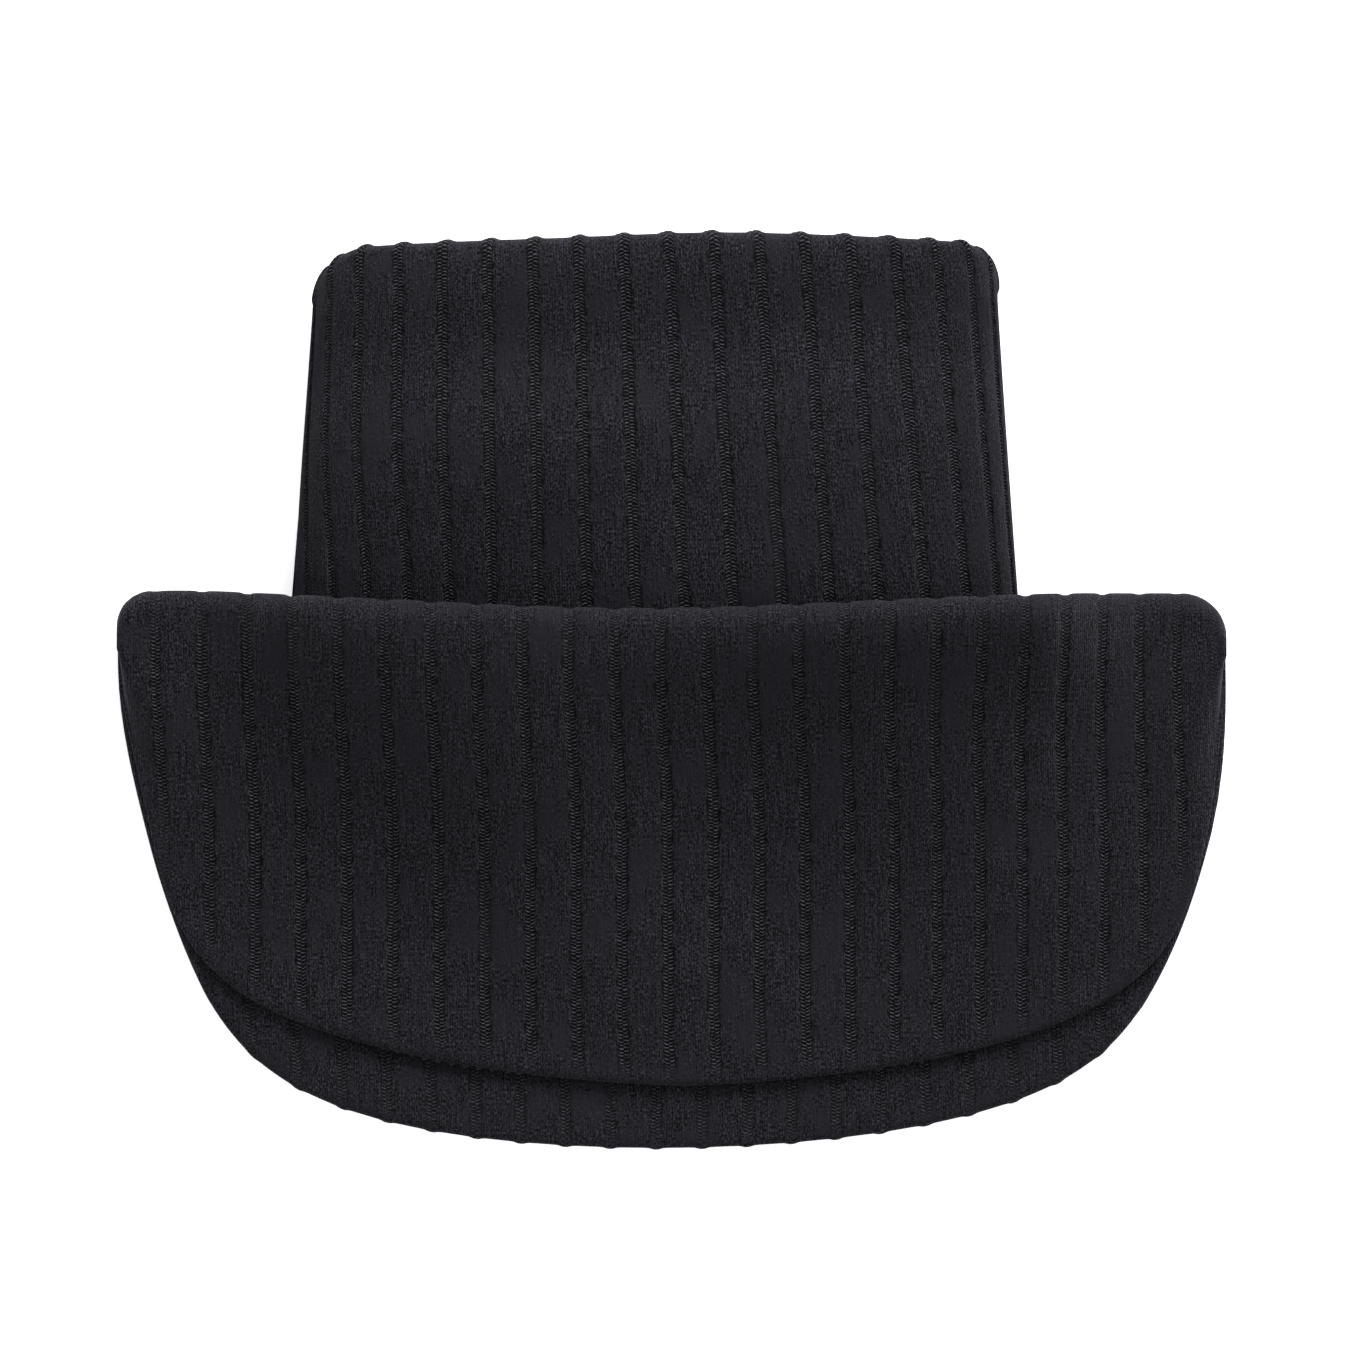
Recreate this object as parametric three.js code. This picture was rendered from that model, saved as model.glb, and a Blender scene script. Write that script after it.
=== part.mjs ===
// A turtleneck dickey: a ribbed-knit collar, turned down on itself, linked to a front and a back bib.
// It lies flat on its back: X is its width, +Y runs from the bibs to the top of the collar, +Z is up.
// Millimetres. Pieces are laid out with y = 0 on the neck seam and z = 0 on the table, and the last
// lines move the whole dickey so that the origin is at the bottom centre of its box.

import * as THREE from 'three';

// ---------- driving dimensions ----------

const knitThickness = 2.6; // one layer of the ribbed knit
const clearance = 0.4; // kept between pieces that touch in the cloth

const collarHeight = 113.6; // from the neck seam to the top fold
const collarTopWidth = 178;
const collarNeckWidth = 190;
const collarNeckThickness = 22; // laid flat, both walls and the air between them
const collarMiddleThickness = 27;
const collarTopThickness = 24;
const collarFlare = 1.3; // how late the collar widens towards the neck
const collarSectionPower = 2.6; // 2 is an ellipse, more is squarer
const collarSag = 3; // how far the middle of the front wall sinks
const collarLayerGap = 0.5; // between the wall and the turned-down layer outside it
const collarCornerRadius = 11;
const collarTopArch = 3.2; // how far the top fold drops from its middle to its corners

const bibWidth = 288.4;
const bibCornerRadius = 9;
const shoulderRise = 19.7; // from the neck seam to the fold along the bib's top edge
const foldRadius = 5.5; // outside radius of that fold
const foldSag = 3; // how far the fold's middle drops towards the neck seam
const foldCurl = 120; // degrees that the fold curls past its foremost line
const foldSlope = 26; // length over which the front bib falls from the collar to the back bib
const foldSlopePower = 1.6;
const foldShoulderRun = 36; // width over which the fold falls from the collar to the shoulder
const foldCrown = 0.85; // share of the collar's base that the fold follows upwards

// A bib's half width is W (1 - t^square)^(1/round) (1 - taper t^taperPower), t from 0 at the neck to 1
const backBib = { drop: 124.1, square: 11.2, round: 1.97, taper: 0.304, taperPower: 1.9 };
const frontBib = { drop: 108.5, square: 7, round: 1.5, taper: 0.118, taperPower: 0.93 };
const neckNotchMargin = 3; // from the collar's side to the back bib's shoulder

const hemDepth = 18; // from the edge of a bib to its line of hem stitches
const hemThreadRadius = 0.5;
const linkingThreadRadius = 0.7;
const closingThreadRadius = 0.6;
const closingSeamMargin = 3; // from the ends of the collar's closing seam to the collar's ends

const shoulderInset = 1; // from the fold's foremost line to the back bib's upper edge

const labelWidth = 30;
const labelLength = 42;
const labelThickness = 0.6;
const labelStitchInset = 2.5;
const labelStitchRadius = 0.3;

// ---------- values worked out from them ----------

const halfBib = bibWidth / 2;
const collarWall = 2 * knitThickness + collarLayerGap;
const linkingRoom = 2 * linkingThreadRadius + 2 * clearance; // gap that the linking thread fills
const hingeY = shoulderRise - foldRadius;
const hemRoom = 4 * hemThreadRadius + 3 * clearance; // between the bibs, for both lines of hem stitches
const bibLevel = knitThickness + hemRoom + knitThickness; // top of the front bib where it lies flat
const { lerp, clamp, smoothstep, degToRad } = THREE.MathUtils;

// How finely the cloth is divided: shares of a length, from its start to its end, and counts.
const collarRows = [0, 0.14, 0.3, 0.48, 0.66, 0.82, 0.94];
const collarColumns = 48;
const bibRows = [0.04, 0.09, 0.14, 0.2, 0.26, 0.33, 0.42, 0.55, 0.75, 1];
const bibColumns = 36;
const curlStep = 30;
const hemSteps = 60;
const hemThreadSteps = 64;
const backBibSteps = 56;
const halvings = 40;

// ---------- helpers ----------

// Joins loops of points into one closed body. Loops meet end to end when ring is true. Otherwise the
// first and last are capped by a strip between the loop's two halves, which fold onto each other.
function loft(loops, ring) {
  const count = loops[0].length;
  const index = [];
  const spans = ring ? loops.length : loops.length - 1;
  for (let i = 0; i < spans; i++) {
    const here = i * count;
    const next = ((i + 1) % loops.length) * count;
    for (let j = 0; j < count; j++) {
      const k = (j + 1) % count;
      index.push(here + j, next + j, next + k, here + j, next + k, here + k);
    }
  }
  if (!ring) {
    const last = (loops.length - 1) * count;
    for (let j = 0; j < count / 2 - 1; j++) {
      const a = j;
      const b = j + 1;
      const c = count - 2 - j;
      const d = count - 1 - j;
      index.push(a, b, c, a, c, d);
      index.push(last + a, last + c, last + b, last + a, last + d, last + c);
    }
  }
  const geometry = new THREE.BufferGeometry().setFromPoints(loops.flat());
  geometry.setIndex(signedVolume(loops.flat(), index) < 0 ? index.reverse() : index);
  geometry.computeVertexNormals();
  return geometry;
}

function signedVolume(points, index) {
  let sum = 0;
  const cross = new THREE.Vector3();
  for (let i = 0; i < index.length; i += 3) {
    cross.crossVectors(points[index[i + 1]], points[index[i + 2]]);
    sum += points[index[i]].dot(cross);
  }
  return sum;
}

// A round thread along a list of points.
function thread(points, radius, steps) {
  const section = new THREE.Shape().absarc(0, 0, radius, 0, 2 * Math.PI);
  const path = new THREE.CatmullRomCurve3(points);
  return new THREE.ExtrudeGeometry(section, { steps, curveSegments: 3, extrudePath: path });
}

function halfWidth(bib, y) {
  const t = clamp(-y / bib.drop, 0, 1);
  return halfBib * (1 - t ** bib.square) ** (1 / bib.round) * (1 - bib.taper * t ** bib.taperPower);
}

// The y of a bib's lower edge at x, by halving the interval that holds it.
function edgeY(bib, x) {
  let low = -bib.drop;
  let high = 0;
  for (let i = 0; i < halvings; i++) {
    const middle = (low + high) / 2;
    if (halfWidth(bib, middle) < Math.abs(x)) low = middle;
    else high = middle;
  }
  return (low + high) / 2;
}

// Evenly spaced points of a bib's lower edge, from its left side round to its right, moved inwards.
function hemLine(bib, inset, count) {
  const side = [];
  for (let i = 0; i <= hemSteps; i++) {
    const y = -bib.drop * Math.sin((i / hemSteps) * Math.PI / 2);
    side.push(new THREE.Vector2(halfWidth(bib, y), y));
  }
  const mirrored = side.slice(0, -1).map((p) => new THREE.Vector2(-p.x, p.y));
  const curve = new THREE.SplineCurve([...mirrored, ...side.reverse()]);
  const line = [];
  for (let i = 0; i <= count; i++) {
    const along = curve.getTangentAt(i / count);
    const at = curve.getPointAt(i / count);
    line.push(new THREE.Vector2(at.x - along.y * inset, at.y + along.x * inset));
  }
  return line;
}

// How far a rounded corner of this radius has dropped at x, where the edge ends at half.
function cornerDrop(x, half, radius) {
  const past = clamp(Math.abs(x) - (half - radius), 0, radius);
  return radius - Math.sqrt(radius * radius - past * past);
}

// ---------- the collar: one ribbed tube, doubled over at the top ----------

function collarHalfWidth(y) {
  const down = 1 - clamp(y / collarHeight, 0, 1);
  return lerp(collarTopWidth, collarNeckWidth, down ** collarFlare) / 2;
}

function collarHalfThickness(y) {
  const t = clamp(y / collarHeight, 0, 1);
  const ends = (collarNeckThickness + collarTopThickness) / 2;
  const crown = 4 * t * (1 - t) * (collarMiddleThickness - ends);
  return (lerp(collarNeckThickness, collarTopThickness, t) + crown) / 2;
}

// A point of the collar's section at height y, a turn of angle round it and inset into its wall.
function collarPoint(angle, y, inset) {
  const wide = collarHalfWidth(y);
  const thick = collarHalfThickness(y);
  const power = 2 / collarSectionPower;
  const cos = Math.cos(angle);
  const sin = Math.sin(angle);
  const across = Math.sign(cos) * Math.abs(cos) ** power;
  const up = Math.sign(sin) * Math.abs(sin) ** power;
  const x = (wide - inset) * across;
  const sag = up > 0 ? collarSag * (1 - across * across) ** 2 * up : 0;
  const drop = collarTopArch * across * across + cornerDrop(x, wide, collarCornerRadius);
  return new THREE.Vector3(x, y - drop * (y / collarHeight) ** 3, thick + (thick - inset) * up - sag);
}

// The collar's outer front surface at x, at height y.
function collarFrontZ(x, y) {
  const across = clamp(Math.abs(x) / collarHalfWidth(y), 0, 1);
  const up = (1 - across ** collarSectionPower) ** (1 / collarSectionPower);
  const thick = collarHalfThickness(y);
  return thick + thick * up - collarSag * (1 - across * across) ** 2 * up;
}

function turnedCollar() {
  const bend = collarWall / 2;
  const levels = collarRows.map((t) => t * (collarHeight - bend));
  const profile = levels.map((y) => [0, y]);
  for (const turn of [30, 90, 150]) {
    const angle = degToRad(turn);
    profile.push([bend * (1 - Math.cos(angle)), collarHeight - bend * (1 - Math.sin(angle))]);
  }
  for (const y of [...levels].reverse()) profile.push([collarWall, y]);
  for (const y of levels) profile.push([collarWall - knitThickness, y]);
  for (const y of [...levels].reverse()) profile.push([knitThickness, y]);
  const loops = [];
  for (let i = 0; i < collarColumns; i++) {
    const angle = (i / collarColumns) * 2 * Math.PI;
    loops.push(profile.map(([inset, y]) => collarPoint(angle, y, inset)));
  }
  return loft(loops, true);
}

// ---------- the front bib: over the collar's base, down to the back bib ----------

// Height of the centre of the fold: over the collar in the middle, down on the shoulders at the sides.
function foldZ(x) {
  const edge = collarHalfWidth(hingeY) - foldRadius;
  const over = collarFrontZ(Math.min(Math.abs(x), edge * foldCrown), shoulderRise) + clearance;
  const low = knitThickness + clearance;
  const fall = smoothstep(Math.abs(x), edge, edge + foldShoulderRun);
  return lerp(over, low, fall) + foldRadius;
}

function foldY(x) {
  const sag = foldSag * (1 - smoothstep(Math.abs(x), 0, collarNeckWidth / 2));
  return hingeY - sag - cornerDrop(x, halfBib, bibCornerRadius);
}

// Top surface of the front bib below its fold.
function bibTopZ(x, y) {
  const below = Math.max(foldY(x) - y, 0);
  const fall = Math.exp(-((below / foldSlope) ** foldSlopePower));
  return lerp(bibLevel, foldZ(x) + foldRadius, fall);
}

function frontBibPanel() {
  const loops = [];
  for (let i = 0; i <= bibColumns; i++) {
    const x = halfBib * Math.sin((i / bibColumns - 0.5) * Math.PI);
    const top = [];
    const under = [];
    for (let turn = -foldCurl; turn <= 90; turn += curlStep) {
      const y = Math.cos(degToRad(turn));
      const z = Math.sin(degToRad(turn));
      const inner = foldRadius - knitThickness;
      top.push(new THREE.Vector3(x, foldY(x) + foldRadius * y, foldZ(x) + foldRadius * z));
      under.push(new THREE.Vector3(x, foldY(x) + inner * y, foldZ(x) + inner * z));
    }
    for (const row of bibRows) {
      const y = lerp(foldY(x), edgeY(frontBib, x), row);
      const slope = bibTopZ(x, y + 0.5) - bibTopZ(x, y - 0.5);
      const across = knitThickness / Math.hypot(1, slope);
      top.push(new THREE.Vector3(x, y, bibTopZ(x, y)));
      under.push(new THREE.Vector3(x, y + across * slope, bibTopZ(x, y) - across));
    }
    loops.push([...top, ...under.reverse()]);
  }
  return loft(loops, false);
}

// ---------- the back bib: flat on the table, cut out for the collar ----------

function backBibPanel() {
  const notch = collarNeckWidth / 2 + neckNotchMargin;
  const shoulder = shoulderRise - shoulderInset;
  const outline = new THREE.Shape();
  outline.moveTo(-notch, -linkingRoom);
  outline.lineTo(-notch, shoulder);
  outline.lineTo(-halfBib + bibCornerRadius, shoulder);
  outline.absarc(-halfBib + bibCornerRadius, shoulder - bibCornerRadius, bibCornerRadius, Math.PI / 2, Math.PI);
  for (const p of hemLine(backBib, 0, backBibSteps)) outline.lineTo(p.x, p.y);
  outline.absarc(halfBib - bibCornerRadius, shoulder - bibCornerRadius, bibCornerRadius, 0, Math.PI / 2);
  outline.lineTo(notch, shoulder);
  outline.lineTo(notch, -linkingRoom);
  return new THREE.ExtrudeGeometry(outline, { depth: knitThickness, bevelEnabled: false, curveSegments: 4 });
}

// ---------- seams: linking threads and hem stitches ----------

// The linking chain between the collar's lower edge and the neck edges of both bibs.
function neckLinkingThread() {
  const loops = [];
  const y = -linkingRoom / 2;
  for (let i = 0; i < collarColumns; i++) {
    const angle = (i / collarColumns) * 2 * Math.PI;
    const centre = collarPoint(angle, 0, collarWall / 2);
    const outward = collarPoint(angle, 0, 0).sub(centre).normalize();
    const section = [];
    for (let side = 0; side < 6; side++) {
      const turn = (side / 6) * 2 * Math.PI;
      const point = centre.clone().addScaledVector(outward, linkingThreadRadius * Math.cos(turn));
      section.push(point.setY(y + linkingThreadRadius * Math.sin(turn)));
    }
    loops.push(section);
  }
  return loft(loops, true);
}

// Joins the end of the front bib's curl to the back bib along one shoulder.
function shoulderSeamThread(side) {
  const middle = foldRadius - knitThickness / 2;
  const past = (clearance + linkingThreadRadius) / middle;
  const turn = degToRad(-foldCurl) - past;
  const start = collarNeckWidth / 2 + neckNotchMargin + foldShoulderRun / 2;
  const end = halfBib - bibCornerRadius;
  const points = [];
  for (let i = 0; i <= 6; i++) {
    const x = side * lerp(start, end, i / 6);
    const y = foldY(x) + middle * Math.cos(turn);
    points.push(new THREE.Vector3(x, y, foldZ(x) + middle * Math.sin(turn)));
  }
  return thread(points, linkingThreadRadius, 12);
}

// A bib's line of hem stitches, on the face that touches the other bib.
function hemThread(bib, z) {
  const points = hemLine(bib, hemDepth, hemThreadSteps).slice(4, -4).map((p) => new THREE.Vector3(p.x, p.y, z(p)));
  return thread(points, hemThreadRadius, hemThreadSteps);
}

// The seam that closes the collar into a tube, on its inside at the centre back.
function collarClosingSeam() {
  const points = [];
  for (let i = 0; i <= 8; i++) {
    const y = lerp(closingSeamMargin, collarHeight - collarWall - closingSeamMargin, i / 8);
    const lift = collarWall + clearance + closingThreadRadius;
    points.push(new THREE.Vector3(0, y, lift));
  }
  return thread(points, closingThreadRadius, 8);
}

// ---------- the care label, sewn below the back neck ----------

const labelTop = -linkingRoom - clearance;
const labelZ = knitThickness + clearance;

function careLabel() {
  const ribbon = new THREE.BoxGeometry(labelWidth, labelLength, labelThickness);
  return ribbon.translate(0, labelTop - labelLength / 2, labelZ + labelThickness / 2);
}

function careLabelStitches() {
  const z = labelZ + labelThickness + clearance + labelStitchRadius;
  const y = labelTop - labelStitchInset;
  const end = labelWidth / 2 - labelStitchInset;
  return thread([new THREE.Vector3(-end, y, z), new THREE.Vector3(end, y, z)], labelStitchRadius, 4);
}

// ---------- the dickey ----------

const ribKnit = { color: 0x232227, roughness: 0.95, metalness: 0 };
const sewing = { color: 0x1b1a1e, roughness: 0.8, metalness: 0 };
const satin = { color: 0x18171a, roughness: 0.5, metalness: 0 };

const pieces = [
  ['back_bib_panel', backBibPanel(), ribKnit],
  ['front_bib_panel', frontBibPanel(), ribKnit],
  ['turned_collar', turnedCollar(), ribKnit],
  ['neck_linking_thread', neckLinkingThread(), sewing],
  ['left_shoulder_seam_thread', shoulderSeamThread(-1), sewing],
  ['right_shoulder_seam_thread', shoulderSeamThread(1), sewing],
  ['collar_closing_seam_thread', collarClosingSeam(), sewing],
  ['front_hem_thread', hemThread(frontBib, (p) => frontThreadZ(p)), sewing],
  ['back_hem_thread', hemThread(backBib, () => knitThickness + clearance + hemThreadRadius), sewing],
  ['care_label', careLabel(), satin],
  ['care_label_stitches', careLabelStitches(), sewing],
];

function frontThreadZ(p) {
  return bibTopZ(p.x, p.y) - knitThickness - clearance - hemThreadRadius;
}

const dickey = new THREE.Group();
for (const [name, geometry, finish] of pieces) {
  const piece = new THREE.Mesh(geometry, new THREE.MeshStandardMaterial(finish));
  piece.name = name;
  dickey.add(piece);
}

const box = new THREE.Box3().setFromObject(dickey);
const centre = box.getCenter(new THREE.Vector3());
dickey.position.set(-centre.x, -centre.y, -box.min.z);

export default dickey;
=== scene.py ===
# A turtleneck dickey, laid flat on a table: a collar turned down on itself, linked to a front and a
# back bib, all in one black wide-rib knit. X runs across the bibs, +Y from the hems to the top of the
# collar, +Z up. Sizes are in millimetres, and cloth() and yarn() turn them into metres.

import math

import bpy
import numpy as np
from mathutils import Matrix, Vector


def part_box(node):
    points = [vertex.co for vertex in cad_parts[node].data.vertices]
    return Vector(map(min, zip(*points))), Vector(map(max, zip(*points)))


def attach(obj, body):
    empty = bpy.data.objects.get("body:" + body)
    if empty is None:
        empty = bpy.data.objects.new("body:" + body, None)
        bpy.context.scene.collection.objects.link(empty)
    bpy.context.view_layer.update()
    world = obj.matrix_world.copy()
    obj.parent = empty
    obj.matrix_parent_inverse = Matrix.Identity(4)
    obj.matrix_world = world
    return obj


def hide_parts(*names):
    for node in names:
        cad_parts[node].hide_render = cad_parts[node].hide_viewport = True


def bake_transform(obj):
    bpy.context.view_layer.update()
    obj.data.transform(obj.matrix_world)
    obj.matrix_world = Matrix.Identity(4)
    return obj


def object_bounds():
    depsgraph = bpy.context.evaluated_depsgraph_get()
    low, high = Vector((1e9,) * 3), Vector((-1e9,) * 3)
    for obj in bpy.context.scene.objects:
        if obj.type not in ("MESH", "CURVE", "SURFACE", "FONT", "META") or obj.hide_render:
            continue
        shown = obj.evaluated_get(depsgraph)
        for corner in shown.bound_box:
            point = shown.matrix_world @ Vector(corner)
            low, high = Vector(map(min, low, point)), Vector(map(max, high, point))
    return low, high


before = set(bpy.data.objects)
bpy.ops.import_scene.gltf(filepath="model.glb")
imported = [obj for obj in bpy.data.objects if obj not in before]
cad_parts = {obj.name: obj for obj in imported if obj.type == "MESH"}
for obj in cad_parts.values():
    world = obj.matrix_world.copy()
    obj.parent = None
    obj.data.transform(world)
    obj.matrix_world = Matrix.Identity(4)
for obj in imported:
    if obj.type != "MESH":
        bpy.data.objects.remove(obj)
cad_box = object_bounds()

# ---------- the table, the light and the camera ----------
# A white table top that runs out of sight, a broad soft light from beyond the collar, a weak one from
# the hem's side, and a long lens straight above.

mm = 0.001
lens = 600
sensor = 36
seen_width = 356.7 * mm
seen_centre = (3.77 * mm, 0.78 * mm)
level_in_focus = 10 * mm

scene = bpy.context.scene
scene.view_settings.view_transform = "Standard"
scene.view_settings.look = "None"

table_mesh = bpy.data.meshes.new("table_top")
table_half = 4.0
table_mesh.from_pydata([(-table_half, -table_half, 0), (table_half, -table_half, 0),
                        (table_half, table_half, 0), (-table_half, table_half, 0)], [], [(0, 1, 2, 3)])
table = bpy.data.objects.new("table_top", table_mesh)
table.location.z = cad_box[0][2] - 0.3 * mm
scene.collection.objects.link(table)
table_paint = bpy.data.materials.new("white_table")
table_paint.use_nodes = True
paint = table_paint.node_tree.nodes["Principled BSDF"]
paint.inputs["Base Color"].default_value = (0.93, 0.93, 0.93, 1)
paint.inputs["Roughness"].default_value = 0.9
paint.inputs["Specular IOR Level"].default_value = 0.1
paint.inputs["Emission Color"].default_value = (1, 1, 1, 1)
paint.inputs["Emission Strength"].default_value = 0.55
table_mesh.materials.append(table_paint)

sky = bpy.data.worlds.new("studio")
sky.use_nodes = True
sky.node_tree.nodes["Background"].inputs["Color"].default_value = (1, 1, 1, 1)
sky.node_tree.nodes["Background"].inputs["Strength"].default_value = 0.7
scene.world = sky


def soft_light(name, place, size, watts):
    lamp = bpy.data.lights.new(name, "AREA")
    lamp.shape = "RECTANGLE"
    lamp.size, lamp.size_y = size
    lamp.energy = watts
    holder = bpy.data.objects.new(name, lamp)
    holder.location = place
    aim = -holder.location
    holder.rotation_euler = aim.to_track_quat("-Z", "Y").to_euler()
    scene.collection.objects.link(holder)


soft_light("window_light", place=(0.5, 1.5, 0.85), size=(1.4, 0.7), watts=58)
soft_light("fill_light", place=(0.5, -1.0, 1.6), size=(1.5, 1.5), watts=8)

camera = bpy.data.objects.new("camera", bpy.data.cameras.new("camera"))
camera.data.lens = lens
camera.data.sensor_width = sensor
camera.data.clip_end = 40
camera.location = (*seen_centre, level_in_focus + seen_width * lens / sensor)
scene.collection.objects.link(camera)
scene.camera = camera

# ---------- the turned-down collar ----------
# A tube of wide rib knit, closed by a seam at the centre back and doubled over at the top, so that its
# outer layer hangs down over the inner one. The purl columns between the flat ribs sink into the cloth.

layer = 1.7  # thickness of the knit itself
collar_height = 113.6
collar_top_width = 178
collar_neck_width = 191.6
collar_neck_thickness = 22
collar_middle_thickness = 27
collar_top_thickness = 24
collar_flare = 1.3
collar_section_power = 2.6
collar_sag = 3
collar_corners = (15, 10)  # at the left and right ends of its top fold
collar_low_left = 1.5
collar_arch = 3.2
collar_turn = 5.0  # across the doubled wall at the top fold
collar_lean = -4.3  # the collar lies a little to the left of the bibs' middle
collar_ribs = 37
collar_rows = 46
collar_side_roll = 35  # the length of each side's roll, in which the ribs crowd, at the top
collar_side_roll_more = 5  # and this much more at the neck
rib_shift = 4.7  # of the middle rib to the right, at rib_shift_level above the bibs' middle
rib_shift_level = 90.7
rib_slant = 0.042
rib_twist = 6  # the ribs at the lower left lie this much further in
top_roll_dip = 3.2  # the outer layer's rounded top edge lies lower
top_roll_reach = 5
hollow_dip = 5.2  # a shallow hollow runs across, below the top fold
hollow_from_top = 29
hollow_reach = 17
hollow_slant = 0.06
low_left_dip = 8
middle_rise = 1.3
laid_ripple = 0.7
turned_hem_gap = 2.5  # the turned-down layer stops this far above the neck seam
seam_lap = 0.6  # the inner layer goes down past the neck seam
inner_drop = 2.0  # the inner layer comes out to the bibs at the neck seam
inner_drop_run = 9
blunt = 0.999  # the edge of a panel that isn't rounded
off_table = 0.05
rib_steps = [0, 0.055, 0.105, 0.15, 0.21, 0.33, 0.5, 0.67, 0.79, 0.85, 0.895, 0.945]
channel_depth = 0.95
channel_reach = 0.115  # in repeats, from the middle of a purl column to the side of its channel
fold_ridge = 0.75  # over the top fold the purl columns stand out by this share of the channel's depth
seam_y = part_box("turned_collar")[0][1] / mm  # the neck seam; y is measured from it below


def lerp(a, b, t):
    return a + (b - a) * t


def smoothstep(x, low, high):
    t = np.clip((x - low) / (high - low), 0, 1)
    return t * t * (3 - 2 * t)


def hill(x, middle, reach):
    """1 in the middle, falling softly to 0 on both sides."""
    return np.exp(-((x - middle) / reach) ** 2)


def channel(ribs):
    """1 in the middle of a purl column, 0 on the flat of a rib; columns are at whole numbers."""
    away = np.abs(ribs - np.round(ribs)) / channel_reach
    return 1 / (1 + away ** 4)


def ripple(x, y, seed):
    """Soft unevenness of laid cloth, between about -1 and 1."""
    a = np.sin(x * 0.041 + y * 0.019 + seed) * np.sin(y * 0.037 - x * 0.013 + 2.1 * seed)
    b = np.sin(x * 0.083 - y * 0.047 + 1.7 * seed) * np.sin(y * 0.071 + x * 0.029 + 0.6 * seed)
    return 0.65 * a + 0.35 * b


class Finish:
    """A socket in a finish's nodes. Sums on it add Math nodes, and node() adds any other node."""

    def __init__(self, tree, socket=None):
        self.tree = tree
        self.socket = socket

    def node(self, kind, settings=None, sockets=None, output=0):
        made = self.tree.nodes.new(kind)
        for name, value in (settings or {}).items():
            setattr(made, name, value)
        for name, value in (sockets or {}).items():
            if isinstance(value, Finish):
                self.tree.links.new(value.socket, made.inputs[name])
            else:
                made.inputs[name].default_value = value
        return Finish(self.tree, made.outputs[output])

    def math(self, operation, *values):
        return self.node("ShaderNodeMath", {"operation": operation}, dict(enumerate(values)))

    def __add__(self, other):
        return self.math("ADD", self, other)

    __radd__ = __add__

    def __mul__(self, other):
        return self.math("MULTIPLY", self, other)

    __rmul__ = __mul__

    def __sub__(self, other):
        return self.math("SUBTRACT", self, other)

    def __rsub__(self, other):
        return self.math("SUBTRACT", other, self)

    def __abs__(self):
        return self.math("ABSOLUTE", self)

    def __pow__(self, other):
        return self.math("POWER", self, other)

    def wave(self):
        """1 at whole numbers, 0 halfway between."""
        return self.math("COSINE", self * (2 * math.pi)) * 0.5 + 0.5

    def at_least(self, low):
        return self.math("MAXIMUM", self, low)

    def step(self, low, high):
        return self.node("ShaderNodeMapRange", {"interpolation_type": "SMOOTHSTEP"},
                         {"Value": self, "From Min": low, "From Max": high})


def new_finish(name):
    material = bpy.data.materials.new(name)
    material.use_nodes = True
    return material, Finish(material.node_tree), material.node_tree.nodes["Principled BSDF"]


rib_colour = (0.0122, 0.0116, 0.0152, 1)
painted_gap_shade = (0.0006, 0.0006, 0.0009, 1)  # painted shade in the gaps between the purl loops
painted_crest_highlight = (0.1030, 0.1000, 0.1200, 1)  # painted highlight on their crests
wales_in_repeat = 9
wale_width = 1.33
course_height = 0.94
channel_side = 0.95  # in wales from the middle of the purl column; the channel ends at channel_end
channel_end = 1.4
braid_sharpness = 4.5
braid_height = 0.7  # the heights are shares of knit_height, which is in metres
loop_height = 0.32
fuzz_height = 0.5
knit_height = 0.0009
least_worn = 0.45  # of the braid, where the loops are matted
least_crisp = 0.15  # of the grain, in the smooth patches
darkest_shade = 0.1


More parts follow.
